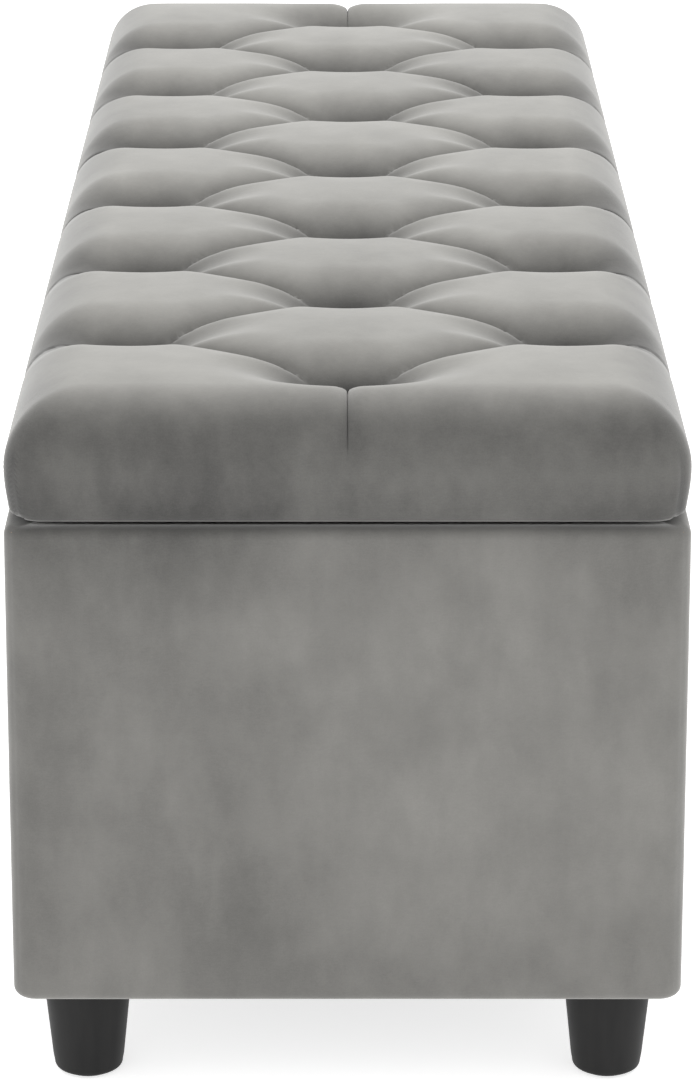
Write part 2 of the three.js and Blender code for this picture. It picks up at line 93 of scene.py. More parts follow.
FOLD_REACH = 31 * MM  # how far from a fold the velvet reaches the full height of the pad
FOLD_SHARPNESS = 3.6  # of the ridge where two dips meet
SIDE_FOLD_END = (0.9, 1.0 * MM, 14 * MM)  # share of the roll that it crosses, depth and reach there
END_FOLD_END = (0.85, 0.2 * MM, 8 * MM)
END_FOLD_DEPTH = 0.75 * FOLD_DEPTH  # of the fold from the last tuft over each end of the bench
END_FOLD_REACH = 0.9 * FOLD_REACH
SEAM_DEPTH = 1.3 * MM
SEAM_REACH = 3 * MM  # of the seams at the upright corners
SEAM_POWER = 1.5  # how sharp the bottom of a seam is
SEAM_START = 0.7  # share of the roll at which the seam of a corner starts
PLEAT_REACH = 1.0 * MM  # half the width of the sewn pleats over the rolled edge
PLEAT_DEPTH = 0.5  # as a share of the depth of a seam
PLEAT_FADE = (0.59, 0.82)  # shares of the roll at which a pleat starts to fade and is gone
LID_SPACING = 3.3 * MM  # between points of the finished skin
CLOTH_SPACING = 7 * MM  # between points of the copy that is let settle
CLOTH_SMOOTHING = 4  # passes over the movement, to take out the marks of the coarse copy
CLOTH_CAP = 8 * MM  # the most that settling moves the velvet
LID_HEM = 42 * MM  # velvet turned under the board of the lid
HEM_ROUNDING = 0.5  # share of the inset that the corners of the hem gain in radius
SKIN_GAP = 0.2 * MM  # between the velvet and the board it is pulled over
BARREL_ROOM = 0.6 * MM  # between the velvet and the barrel of a hinge
BARREL_EASE = 4 * MM  # past the end of a barrel, over which the velvet comes back
BODY_SWELL = 1.6 * MM  # how far the sides of the body are stuffed out
BODY_WAVER = 0.7 * MM  # how far they vary from that
BODY_WAVES = 6  # how closely that repeats
BODY_SEAM = 0.3  # depth of the seams of the body, as a share of the depth of a seam
BODY_SPACING = 5 * MM
BODY_ROWS = 64  # up the side of the body
CORNER_STEPS = 8  # points round an upright corner of the body, from its middle
EDGE_STEPS = 7  # points round an upper or lower edge of the body

# Tones of the velvet, from 0, its darkest, to 1, its lightest; on the lid and body they hold painted light
# and shade
VELVET_DARK = (0.062, 0.061, 0.059)
VELVET_LIGHT = (0.392, 0.384, 0.360)
LID_PAD_PAINTED_LIGHT = 0.685  # on the full pads, lighter than the body: a painted highlight
LID_PAINTED_SHADE_SIDE = 0.53  # painted shade on the side of the lid
LID_PAINTED_SHADE_LOW = 0.07  # more painted shade at its lower edge
LID_PAINTED_SHADE_HOLLOW = 1.2  # painted shade at the bottom of a tuft
LID_PAINTED_SHADE_SEWN = 0.12  # painted shade in a seam
LID_SIDE_SHADE_START = -0.10  # share of the roll at which the side's painted shade starts
LID_SIDE_SHADE_BLEND = 0.72  # share of the roll that it takes to come in
HEM_TONE = 0.3
BODY_TONE = 0.33
BODY_PAINTED_LIGHT_ACROSS = 0.06  # painted light towards the back edge, painted shade towards the front edge
BODY_PAINTED_SHADE_TOP = 0.10  # painted shade at the upper edge
BODY_TOP_SHADE_BAND = 0.2  # of the height of the body, over which that fades
BUTTON_TONE = 0.35

# Cloth settings
CLOTH_FRAMES = 20
CLOTH_PRESSURE = 4
CLOTH_QUALITY = 4
CLOTH_MASS = 0.3
CLOTH_STRETCH = 12
CLOTH_SHEAR = 6
CLOTH_BEND = 0.4
CLOTH_HELD_FROM = 0.25  # share of a tuft's depth at which the stitching starts to hold the velvet

# Legs and tuft buttons
LEG_SIDES = 96
LEG_PAST_GLIDE = 6 * MM  # how far the foot of a leg stands out past its glide
LEG_FOOT_ROUND = 3.5 * MM
LEG_TOP_ROUND = 1.2 * MM
BUTTON_RADIUS = 10 * MM
BUTTON_DOME = 6 * MM
BUTTON_SUNK = 1.5 * MM  # how far the button goes below its seat
BUTTON_LIFT = 1.0 * MM  # its seat above the bottom of a tuft
SMALL_SIDES = 32  # of buttons and screws

# Fixings
LEAF_METAL = 1.2 * MM
LEAF_REST = 0.3 * MM  # between a leaf and the edge it is screwed to
CROSS_WIDTH = 0.42  # of the recess in a screw head; 1 would take in the whole head
PROUD = 0.02 * MM  # keeps a screw head off the metal it sits on
HINGE_SCREW_INSET = 5.35 * MM  # from the far edge of a leaf to its line of screws
SCREW_SPREAD = 0.7  # how far out the end screws are, as a share of the half length
STAY_METAL = 2 * MM
STAPLE_SPACING = 62 * MM
STAPLE_INSET = 7 * MM  # from the edge of a sheet to its line of staples
STAPLE_PROUD = 0.3 * MM  # from the middle of a sheet to the back of its staples

# Linings
LINING_THICKNESS = 0.8 * MM
LINING_PULL = 0.35 * MM  # how far the walls of the lining are drawn in
LINING_SPACING = 14 * MM
LINING_ROWS = 20
LINING_WAVES = (5, 5, 8)  # how closely the unevenness repeats along x, y and z
SHEET_WAVES = 4
SHEET_THICKNESS = 0.5 * MM
SHEET_SPACING = 12 * MM
SHEET_FIXED = 30 * MM  # from the edge of a sheet, over which it is held flat
LID_SHEET_SAG = 0.15 * MM
DUST_SHEET_SAG = 0.35 * MM

# Angles between faces past which an edge shows as a crease
LEG_CREASE = math.radians(50)
METAL_CREASE = math.radians(40)
NODE_CREASE = math.radians(35)

# Names of repeated pieces in the frame
HINGES = ("left", "middle", "right")
SIDES = ("left", "right")
CORNERS = ("front_left", "front_right", "back_left", "back_right")


# Small helpers

def linked(name, data):
    """A new object in the scene that shows the data."""
    thing = bpy.data.objects.new(name, data)
    bpy.context.scene.collection.objects.link(thing)
    return thing


def new_mesh(name, vertices, faces):
    mesh = bpy.data.meshes.new(name)
    corners = [tuple(int(i) for i in face) for face in faces]
    mesh.from_pydata([tuple(v) for v in vertices], [], corners)
    return mesh


def share_of(value, start, end):
    """How far value has got from start to end, kept within 0 to 1."""
    return np.clip((value - start) / (end - start), 0, 1)


def eased(share):
    """A share from 0 to 1 that leaves 0 and reaches 1 gently."""
    return share * share * (3 - 2 * share)


# Camera, lights and floor

def add_camera():
    """A long lens in line with the bench, looking down on its right-hand end."""
    data = bpy.data.cameras.new("camera")
    data.lens = CAMERA_LENS
    data.sensor_width = 36
    data.shift_y = CAMERA_SHIFT
    data.clip_end = CAMERA_REACH
    camera = linked("camera", data)
    camera.location = CAMERA_PLACE
    camera.rotation_euler = (math.radians(90 - CAMERA_TILT), 0, math.radians(90))
    bpy.context.scene.camera = camera


def add_softbox(name, place, aim, width, height, power):
    data = bpy.data.lights.new(name, "AREA")
    data.shape = "RECTANGLE"
    data.size = width
    data.size_y = height
    data.energy = power
    light = linked(name, data)
    light.location = place
    light.rotation_euler = (Vector(aim) - Vector(place)).to_track_quat("-Z", "Y").to_euler()


def add_studio():
    add_softbox("light_above", place=(-0.6, 0.3, 2.6), aim=(0, 0, 0.4), width=3.4, height=2.2, power=34)
    add_softbox("light_front", place=(3.6, -1.0, 1.2), aim=(0.6, 0, 0.2), width=1.6, height=1.6, power=9)
    world = bpy.data.worlds.new("studio")
    world.use_nodes = True
    background = world.node_tree.nodes["Background"]
    background.inputs["Color"].default_value = (1, 1, 1, 1)
    background.inputs["Strength"].default_value = WORLD_LIGHT
    bpy.context.scene.world = world
    bpy.context.scene.view_settings.view_transform = "Standard"
    corners = [(x * FLOOR_HALF, y * FLOOR_HALF, 0) for x, y in ((-1, -1), (1, -1), (1, 1), (-1, 1))]
    floor = linked("floor", new_mesh("floor", corners, [(0, 1, 2, 3)]))
    floor.data.materials.append(floor_material())


# Materials

class Nodes:
    """Short ways to add and wire shader nodes."""

    def __init__(self, name):
        self.material = bpy.data.materials.new(name)
        self.material.use_nodes = True
        self.tree = self.material.node_tree
        self.shader = self.tree.nodes["Principled BSDF"]

    def add(self, kind, **settings):
        node = self.tree.nodes.new(kind)
        for key, value in settings.items():
            setattr(node, key, value)
        return node

    def wire(self, source, target):
        self.tree.links.new(source, target)

    def set(self, **values):
        for key, value in values.items():
            self.shader.inputs[key.replace("_", " ")].default_value = value

    def coordinates(self, scale):
        where = self.add("ShaderNodeTexCoord")
        mapping = self.add("ShaderNodeMapping")
        mapping.inputs["Scale"].default_value = scale
        self.wire(where.outputs["Object"], mapping.inputs["Vector"])
        return mapping.outputs["Vector"]

    def noise(self, scale, detail=4.0, roughness=0.55, stretch=(1, 1, 1)):
        node = self.add("ShaderNodeTexNoise")
        node.inputs["Scale"].default_value = scale
        node.inputs["Detail"].default_value = detail
        node.inputs["Roughness"].default_value = roughness
        self.wire(self.coordinates(stretch), node.inputs["Vector"])
        return node.outputs["Fac"]

    def cells(self, scale, stretch=(1, 1, 1)):
        node = self.add("ShaderNodeTexVoronoi")
        node.inputs["Scale"].default_value = scale
        self.wire(self.coordinates(stretch), node.inputs["Vector"])
        return node.outputs["Distance"]

    def attribute(self, name):
        return self.add("ShaderNodeAttribute", attribute_name=name).outputs["Fac"]

    def total(self, first, *others):
        for value in others:
            node = self.add("ShaderNodeMath", operation="ADD")
            self.wire(first, node.inputs[0])
            self.wire(value, node.inputs[1])
            first = node.outputs["Value"]
        return first

    def scaled(self, value, factor):
        node = self.add("ShaderNodeMath", operation="MULTIPLY")
        self.wire(value, node.inputs[0])
        node.inputs[1].default_value = factor
        return node.outputs["Value"]

    def spread(self, value, low, high):
        """value's middle range, 0.3 to 0.7, spread over low to high."""
        node = self.add("ShaderNodeMapRange")
        node.inputs["From Min"].default_value = 0.3
        node.inputs["From Max"].default_value = 0.7
        node.inputs["To Min"].default_value = low
        node.inputs["To Max"].default_value = high
        self.wire(value, node.inputs["Value"])
        return node.outputs["Result"]

    def colour(self, tone, dark, light):
        """Gives the shader a colour that goes from dark at a tone of 0 to light at 1."""
        node = self.add("ShaderNodeMix", data_type="RGBA")
        # inputs 6 and 7 and output 2 are the node's sockets for colours
        self.wire(tone, node.inputs[0])
        node.inputs[6].default_value = (*dark, 1)
        node.inputs[7].default_value = (*light, 1)
        self.wire(node.outputs[2], self.shader.inputs["Base Color"])

    def rough(self, value, low, high):
        self.wire(self.spread(value, low, high), self.shader.inputs["Roughness"])

    def relief(self, normal):
        self.wire(normal, self.shader.inputs["Normal"])

    def bump(self, height, distance, strength=1.0, under=None):
        node = self.add("ShaderNodeBump")
        node.inputs["Distance"].default_value = distance
        node.inputs["Strength"].default_value = strength
        self.wire(height, node.inputs["Height"])
        if under is not None:
            self.wire(under, node.inputs["Normal"])
        return node.outputs["Normal"]


def floor_material():
    make = Nodes("floor")
    tone = make.spread(make.noise(0.8), 0.0, 1.0)
    make.colour(tone, (0.80, 0.80, 0.80), (0.83, 0.83, 0.83))
    make.set(Roughness=0.85, Emission_Color=(1, 1, 1, 1), Emission_Strength=FLOOR_GLOW)
    return make.material


def velvet_material(name):
    """Velvet with a short nap. The mesh's tone attribute sets each point's tone from dark to light, and on
    the lid and body it holds painted light and shade.
    """
    make = Nodes(name)
    blotch = make.noise(7.0, detail=5.0, roughness=0.62)
    stroke = make.noise(22.0, detail=4.0, roughness=0.6, stretch=(1.0, 1.0, 0.45))
    weave = make.noise(240.0, detail=2.0, stretch=(1.0, 1.0, 4.0))
    speck = make.noise(1100.0, detail=2.0)
    brushed = make.total(make.spread(blotch, -0.085, 0.085), make.spread(stroke, -0.07, 0.07))
    grain = make.total(make.spread(weave, -0.012, 0.012), make.spread(speck, -0.02, 0.02))
    # painted light and shade from the tone attribute, on top of the random mottling
    tone = make.total(brushed, grain, make.attribute("tone_and_painted_light"))
    make.colour(tone, VELVET_DARK, VELVET_LIGHT)
    make.set(Roughness=0.92, Sheen_Weight=0.55, Sheen_Roughness=0.42,
             Sheen_Tint=(0.97, 0.965, 0.95, 1), Specular_IOR_Level=0.12)
    soft = make.bump(blotch, 0.0014, 0.5)
    fine = make.bump(weave, 0.00012, 0.5, under=soft)
    make.relief(make.bump(speck, 0.00016, 0.6, under=fine))
    return make.material


def board_material():
    """Particle board: pale chips pressed in a darker glue."""
    make = Nodes("board")
    chips = make.cells(420.0, stretch=(1.0, 1.0, 2.2))
    dust = make.noise(900.0, detail=3.0)
    tone = make.total(make.scaled(chips, 0.8), make.spread(dust, -0.12, 0.12))
    make.colour(tone, (0.24, 0.155, 0.082), (0.56, 0.41, 0.25))
    make.set(Roughness=0.86, Specular_IOR_Level=0.3)
    make.relief(make.bump(chips, 0.00025, 0.7))
    return make.material


def pine_material():
    """Planed pine: grain that runs up the block, in bands that wander."""
    make = Nodes("pine")
    wander = make.noise(9.0, detail=3.0, stretch=(1.0, 1.0, 0.12))
    bands = make.noise(150.0, detail=2.0, stretch=(1.0, 1.0, 0.025))
    fibre = make.noise(800.0, detail=3.0, stretch=(1.0, 1.0, 0.03))
    grain = make.total(make.spread(wander, 0.1, 0.5), make.spread(bands, 0.0, 0.45))
    tone = make.total(grain, make.spread(fibre, -0.08, 0.08))
    make.colour(tone, (0.42, 0.255, 0.115), (0.70, 0.52, 0.30))
    make.rough(bands, 0.55, 0.72)
    make.relief(make.bump(fibre, 0.00015, 0.6))
    return make.material


def non_woven_material(name, dark, light):
    """Spun-bonded lining: matted fibres, pressed with a small pattern of dimples."""
    make = Nodes(name)
    fibres = make.noise(650.0, detail=4.0, roughness=0.7)
    dimples = make.cells(380.0)
    cloud = make.noise(14.0, detail=3.0)
    tone = make.total(make.spread(fibres, 0.15, 0.75), make.spread(cloud, -0.15, 0.15))
    make.colour(tone, dark, light)
    make.set(Roughness=0.93, Sheen_Weight=0.2, Specular_IOR_Level=0.2)
    pressed = make.bump(dimples, 0.00025, 0.7)
    make.relief(make.bump(fibres, 0.00012, 0.6, under=pressed))
    return make.material


def lacquer_material():
    """Matt black lacquer over turned wood, with faint turning lines."""
    make = Nodes("leg_black")
    grain = make.noise(120.0, detail=3.0, stretch=(1.0, 1.0, 0.12))
    turning = make.noise(420.0, detail=2.0, stretch=(0.02, 0.02, 1.0))
    cloud = make.noise(30.0, detail=4.0)
    tone = make.total(make.spread(grain, 0.1, 0.6), make.spread(cloud, -0.1, 0.3))
    make.colour(tone, (0.0125, 0.0125, 0.0127), (0.0215, 0.0212, 0.0208))
    make.rough(cloud, 0.46, 0.60)
    make.set(Specular_IOR_Level=0.16)
    lines = make.bump(turning, 0.00006, 0.5)
    make.relief(make.bump(grain, 0.00008, 0.5, under=lines))
    return make.material


def zinc_material():
    """Bright zinc plate: a faint spangle, with fine rubbed lines along the metal."""
    make = Nodes("steel")
    spangle = make.cells(260.0)
    rubbed = make.noise(1400.0, detail=2.0, stretch=(0.05, 1.0, 1.0))
    cloud = make.noise(40.0, detail=4.0)
    tone = make.total(make.spread(cloud, 0.2, 0.7), make.scaled(spangle, 0.25))
    make.colour(tone, (0.47, 0.47, 0.46), (0.72, 0.72, 0.70))
    make.rough(rubbed, 0.24, 0.40)
    make.set(Metallic=1.0)
    make.relief(make.bump(rubbed, 0.00004, 0.5))
    return make.material


def moulded_material(name, dark, light, rough_low, rough_high, grain):
    """Moulded plastic or rubber with a fine grain and a little bloom."""
    make = Nodes(name)
    fine = make.noise(grain, detail=3.0)
    bloom = make.noise(45.0, detail=4.0)
    tone = make.total(make.spread(bloom, 0.1, 0.8), make.spread(fine, -0.1, 0.1))
    make.colour(tone, dark, light)
    make.rough(bloom, rough_low, rough_high)
    make.relief(make.bump(fine, 0.00008, 0.6))
    return make.material


# Meshes

def add_piece(name, vertices, faces, body, material, smooth=True):
    mesh = new_mesh(name, vertices, faces)
    mesh.validate()
    mesh.polygons.foreach_set("use_smooth", [smooth] * len(mesh.polygons))
    mesh.materials.append(material)
    piece = linked(name, mesh)
    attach(piece, body)
    return piece


def add_attribute(piece, name, values):
    layer = piece.data.attributes.new(name, "FLOAT", "POINT")
    layer.data.foreach_set("value", np.asarray(values, np.float32).ravel())


def grid_faces(rows, columns, start=0):
    index = start + np.arange(rows * columns).reshape(rows, columns)
    corners = [index[:-1, :-1], index[1:, :-1], index[1:, 1:], index[:-1, 1:]]
    return np.stack(corners, -1).reshape(-1, 4)


def ring_faces(a, b):
    """Faces between two rings of as many points each."""
    return list(zip(a, np.roll(a, -1), np.roll(b, -1), b))


def rounded_ring(position, half_x, half_y, radius):
    """Points on a rounded rectangle. position runs from 0 to 8: half a side for each unit,
    starting at the middle of the side that faces +Y and turning towards +X."""
    side = np.floor((position + 1) / 2).astype(int) % 4
    along = (position + 1) % 2 - 1  # -1 to 1 from corner to corner
    across = np.where(side % 2 == 0, half_x, half_y)
    out = np.where(side % 2 == 0, half_y, half_x)
    straight = across - radius
    reach = np.abs(along) * (straight + radius * math.pi / 4)
    angle = np.maximum(reach - straight, 0) / np.maximum(radius, 1e-9)
    u = np.sign(along) * np.where(reach < straight, reach, straight + radius * np.sin(angle))
    v = np.where(reach < straight, out, out - radius + radius * np.cos(angle))
    x = np.choose(side, [u, v, -u, -v])
    y = np.choose(side, [v, -u, -v, u])
    return x, y


# The lid

class LidSurface:
    """The skin of the lid as a flat sheet wrapped over a rounded box.

    A point of the sheet has flat coordinates. Inside the flat of the top they are x and y;
    past it they go on over the rolled edge and down the side."""

    def __init__(self):
        self.flat_x = HALF_LENGTH - ROLL_RADIUS
        self.flat_y = HALF_WIDTH - ROLL_RADIUS
        self.roll = ROLL_RADIUS * math.pi / 2
        self.side = LID_TOP - ROLL_RADIUS - LID_BOTTOM - TUCK_RADIUS
        self.tuck = TUCK_RADIUS * math.pi / 2
        self.reach = self.roll + self.side + self.tuck

    def profile(self, past):
        """(outward distance, height, angle of the outward normal above level) that far past the flat."""
        roll = np.clip(past, 0, self.roll) / ROLL_RADIUS
        tuck = np.clip(past - self.roll - self.side, 0, self.tuck) / TUCK_RADIUS
        down = np.clip(past - self.roll, 0, self.side)
        swell = SIDE_BULGE * (np.cos(math.pi / 2 * down / self.side) - 1)
        out = ROLL_RADIUS * np.sin(roll) - TUCK_RADIUS * (1 - np.cos(tuck)) + swell
        height = LID_TOP - ROLL_RADIUS * (1 - np.cos(roll)) - down - TUCK_RADIUS * np.sin(tuck)
        return out, height, math.pi / 2 - roll - tuck

    def wrap(self, x, y):
        """Positions, outward normals and field coordinates of points of the sheet."""
        past_x = np.abs(x) - self.flat_x
        past_y = np.abs(y) - self.flat_y
        past = np.maximum(np.maximum(past_x, past_y), 0)
        out, height, tilt = self.profile(past)
        on_long_side = past_y >= past_x
        side = np.where(on_long_side, np.where(y > 0, 0, 2), np.where(x > 0, 1, 3))
        along_long = x / (self.flat_x + past) * np.where(y > 0, 1, -1)
        along_short = y / (self.flat_y + past) * np.where(x > 0, -1, 1)
        position = 2 * side + np.where(on_long_side, along_long, along_short)
        half_x = self.flat_x + out
        half_y = self.flat_y + out
        radius = LID_CORNER_RADIUS * np.clip(out / ROLL_RADIUS, 0, 1)
        ring_x, ring_y = rounded_ring(position % 8, half_x, half_y, np.maximum(radius, 1e-6))
        inside = past <= 0
        px = np.where(inside, x, ring_x)
        py = np.where(inside, y, ring_y)
        points = np.stack([px, py, height], -1)
        facing = np.stack([
            np.clip(px - np.clip(px, radius - half_x, half_x - radius), -1, 1),
            np.clip(py - np.clip(py, radius - half_y, half_y - radius), -1, 1),
        ], -1)
        size = np.linalg.norm(facing, axis=-1, keepdims=True)
        facing = facing / np.maximum(size, 1e-9)
        normals = np.concatenate([facing * np.cos(tilt)[..., None], np.sin(tilt)[..., None]], -1)
        field_x = np.where(inside | on_long_side, px, np.sign(x) * (self.flat_x + past))
        field_y = np.where(inside | ~on_long_side, py, np.sign(y) * (self.flat_y + past))
        return points, normals, field_x, field_y, past, position % 8


def tuft_places():
    middle = [((i + 0.5) * CELL - HALF_LENGTH, 0.0) for i in range(ROWS)]
    outer = [(i * CELL - HALF_LENGTH, side * OUTER_LINE) for i in range(1, ROWS) for side in (-1, 1)]
    return middle, outer


def fold_lines(surface):
    """(start, end, depths at the start and end, reach at the start and end) of each fold."""
    middle, outer = tuft_places()
    folds = []
    for x, y in middle:
        for outer_x, outer_y in outer:
            if abs(outer_x - x) < CELL:
                end = (outer_x, outer_y)
                folds.append(((x, y), end, (FOLD_DEPTH, FOLD_DEPTH), (FOLD_REACH, FOLD_REACH)))
    share, depth, reach = SIDE_FOLD_END
    for x, y in outer:
        end = (x, math.copysign(surface.flat_y + surface.roll * share, y))
        folds.append(((x, y), end, (FOLD_DEPTH, depth), (FOLD_REACH, reach)))
    share, depth, reach = END_FOLD_END
    for x, y in (middle[0], middle[-1]):
        end = (math.copysign(surface.flat_x + surface.roll * share, x), y)
        folds.append(((x, y), end, (END_FOLD_DEPTH, depth), (END_FOLD_REACH, reach)))
    return folds


def crowned(share):
    """1 at a share of 0, falling along a quarter circle to 0 at a share of 1."""
    slack = 1 - np.clip(share, 0, 1)
    return 1 - np.sqrt(1 - slack ** 2)


def pillow_drop(surface, x, y):
    """How far the velvet is pulled in below the full height of the pad at field point x, y."""
    total = np.zeros_like(x)
    for (x0, y0), (x1, y1), (depth0, depth1), (reach0, reach1) in fold_lines(surface):
        dx, dy = x1 - x0, y1 - y0
        t = np.clip(((x - x0) * dx + (y - y0) * dy) / (dx * dx + dy * dy), 0, 1)
        distance = np.hypot(x - x0 - t * dx, y - y0 - t * dy)
        fall = crowned(distance / (reach0 + (reach1 - reach0) * t))
        total += ((depth0 + (depth1 - depth0) * t) * fall) ** FOLD_SHARPNESS
    middle, outer = tuft_places()
    for x0, y0 in middle + outer:
        share = np.hypot(x - x0, (y - y0) / TUFT_SPREAD) / TUFT_REACH
        fall = (1 - np.clip(share, 0, 1)) ** TUFT_SOFTNESS
        total += (TUFT_DEPTH * fall) ** FOLD_SHARPNESS
    return total ** (1 / FOLD_SHARPNESS)


def corner_seam(surface, position, past):
    """Depth of the sewn seam down each upright corner of the lid."""
    from_corner = np.abs(position % 2 - 1) * (surface.flat_y + ROLL_RADIUS)
    on_side = share_of(past, SEAM_START * surface.roll, surface.roll)
    return on_side * np.clip(1 - from_corner / SEAM_REACH, 0, 1) ** SEAM_POWER


def edge_pleats(surface, x, y, past):
    """Depth of the sewn pleats that run from the last tufts over the rolled edge, as a share."""
    middle, outer = tuft_places()
    start, end = PLEAT_FADE
    fade = PLEAT_DEPTH * (1 - share_of(past / surface.roll, start, end))
    on_end = np.where(np.abs(x) > middle[-1][0], 1 - np.abs(y) / PLEAT_REACH, 0)
    pleats = np.clip(on_end, 0, 1)
    for tuft_x, _ in outer[::2]:
        on_side = np.where(np.abs(y) > OUTER_LINE, 1 - np.abs(x - tuft_x) / PLEAT_REACH, 0)
        pleats = np.maximum(pleats, np.clip(on_side, 0, 1))
    return pleats * fade


def sheet_axis(flat, reach, spacing, pleats):
    """Coordinates across the sheet: even steps, with close ones at each pleat."""
    inner = np.linspace(-flat, flat, 2 * round(flat / spacing) + 1)
    outer = flat + np.linspace(0, reach, round(reach / spacing) + 1)[1:]
    lines = np.concatenate([-outer[::-1], inner, outer])
    close = PLEAT_REACH * np.array([-1.6, -1.0, -0.5, 0.0, 0.5, 1.0, 1.6])
    for place in pleats:
        lines = lines[np.abs(lines - place) > close[-1] + spacing / 3]
        lines = np.concatenate([lines, place + close])
    return np.sort(lines)


def lid_sheet(surface, spacing, pleated):
    outer_xs = [x for x, _ in tuft_places()[1][::2]] if pleated else []
    xs = sheet_axis(surface.flat_x, surface.reach, spacing, outer_xs)
    ys = sheet_axis(surface.flat_y, surface.reach, spacing, [0.0] if pleated else [])
    return np.meshgrid(xs, ys, indexing="ij")


def relaxed(surface, fine_x, fine_y):
    """How the velvet moves when it is let settle over its stuffing, at each point of the fine sheet.

    A coarse copy of the skin is inflated as cloth while the tufts and the lower edge are held."""
    x, y = lid_sheet(surface, CLOTH_SPACING, False)
    points, normals, field_x, field_y, past, _ = surface.wrap(x, y)
    drop = pillow_drop(surface, field_x, field_y)
    start = points - normals * drop[..., None]
    hold = share_of(drop / TUFT_DEPTH, CLOTH_HELD_FROM, 1)
    hold = np.maximum(hold, share_of(past, surface.roll, surface.roll + surface.side))
    after = settled_cloth(start.reshape(-1, 3), grid_faces(*x.shape), hold.ravel())
    moved = after.reshape(start.shape) - start
    size = np.linalg.norm(moved, axis=-1, keepdims=True)
    moved *= CLOTH_CAP / (CLOTH_CAP + size)
    for _ in range(CLOTH_SMOOTHING):
        moved = smoothed(smoothed(moved, 0), 1)
    return resampled(moved, x[:, 0], y[0], fine_x[:, 0], fine_y[0])


def settled_cloth(points, faces, hold):
    """Where the points of a sheet come to rest under pressure; a hold of 1 keeps a point still."""
    cloth = linked("lid_cloth", new_mesh("lid_cloth", points, faces))
    group = cloth.vertex_groups.new(name="held")
    for index, weight in enumerate(hold):
        group.add([index], float(weight), "REPLACE")
    modifier = cloth.modifiers.new("cloth", "CLOTH")
    settings = modifier.settings
    settings.quality = CLOTH_QUALITY
    settings.mass = CLOTH_MASS
    settings.tension_stiffness = CLOTH_STRETCH
    settings.compression_stiffness = CLOTH_STRETCH
    settings.shear_stiffness = CLOTH_SHEAR
    settings.bending_stiffness = CLOTH_BEND
    settings.use_pressure = True
    settings.uniform_pressure_force = CLOTH_PRESSURE
    settings.vertex_group_mass = "held"
    settings.effector_weights.gravity = 0
    modifier.collision_settings.use_collision = False
    scene = bpy.context.scene
    for number in range(1, CLOTH_FRAMES + 1):
        scene.frame_set(number)
    depsgraph = bpy.context.evaluated_depsgraph_get()
    settled = cloth.evaluated_get(depsgraph).to_mesh()
    after = np.empty(len(points) * 3)
    settled.vertices.foreach_get("co", after)
    bpy.data.objects.remove(cloth)
    scene.frame_set(1)
    return after


def smoothed(field, axis):
    """Each value of a field averaged with its two neighbours along one axis; the ends stay."""
    values = np.moveaxis(field, axis, 0)
    result = values.copy()
    result[1:-1] = (values[:-2] + 2 * values[1:-1] + values[2:]) / 4
    return np.moveaxis(result, 0, axis)


def read_between(values, old, new):
    """Values given at the places old, read off at the places new, along the first axis."""
    place = np.clip(np.searchsorted(old, new) - 1, 0, len(old) - 2)
    share = eased(share_of(new, old[place], old[place + 1]))
    share = share.reshape(-1, *[1] * (values.ndim - 1))
    return values[place] * (1 - share) + values[place + 1] * share


def resampled(field, xs, ys, fine_xs, fine_ys):
    """A field on one grid, read off at the points of a finer grid."""
    lengthwise = read_between(field, xs, fine_xs)
    return np.moveaxis(read_between(np.moveaxis(lengthwise, 1, 0), ys, fine_ys), 0, 1)


def rim_indices(rows, columns):
    """The outline of a grid of points, once round."""
    return np.concatenate([
        np.arange(rows) * columns,
        (rows - 1) * columns + np.arange(1, columns),
        np.arange(rows - 1)[::-1] * columns + columns - 1,
        np.arange(1, columns - 1)[::-1],
    ])


def clear_of_hinges(points):
    """Moves points that lie inside the barrel of a hinge out to a little more than its radius."""
    for name in HINGES:
        low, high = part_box("hinge_pin_" + name)
        _, leaf_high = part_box("hinge_body_leaf_" + name)
        axis_y, axis_z = (low.y + high.y) / 2, (low.z + high.z) / 2
        past_end = np.abs(points[:, 0] - (low.x + high.x) / 2) - (high.x - low.x) / 2
        room = (leaf_high.y - axis_y + BARREL_ROOM) * (1 - share_of(past_end, 0, BARREL_EASE))
        away = points[:, 1:] - (axis_y, axis_z)
        distance = np.linalg.norm(away, axis=1)
        push = np.maximum(room - distance, 0) / np.maximum(distance, 1e-6)
        points[:, 1:] += away * push[:, None]
    return points


def cushion_underside(position):
    """Rings that carry the skin on under the board, back to its edge and up over it."""
    board_inset = HALF_LENGTH - board_high.x - SKIN_GAP
    for inset, height in [
        (LID_HEM / 2, LID_BOTTOM),
        (LID_HEM, LID_BOTTOM),
        (LID_HEM, board_low.z - SKIN_GAP),
        (board_inset, board_low.z - SKIN_GAP),
        (board_inset, board_high.z + SKIN_GAP),
    ]:
        radius = LID_CORNER_RADIUS + inset * HEM_ROUNDING
        x, y = rounded_ring(position, HALF_LENGTH - inset, HALF_WIDTH - inset, radius)
        yield np.stack([x, y, np.full(len(position), height)], -1)


def lid_painted_light(surface, past, drop, sewn):
    """Painted light and shade on the lid's velvet: a painted highlight on the pads, painted shade in the
    hollows, in the seams, on the side and more at its lower edge.
    """
    side_start = LID_SIDE_SHADE_START * surface.roll
    on_side = eased(share_of(past, side_start, side_start + LID_SIDE_SHADE_BLEND * surface.roll))
    down_side = share_of(past, surface.roll, surface.roll + surface.side)
    hollow = np.clip(drop / TUFT_DEPTH, 0, 1)
    painted_shade = LID_PAINTED_SHADE_SIDE * on_side + LID_PAINTED_SHADE_LOW * down_side
    return LID_PAD_PAINTED_LIGHT - painted_shade - LID_PAINTED_SHADE_HOLLOW * hollow - LID_PAINTED_SHADE_SEWN * sewn


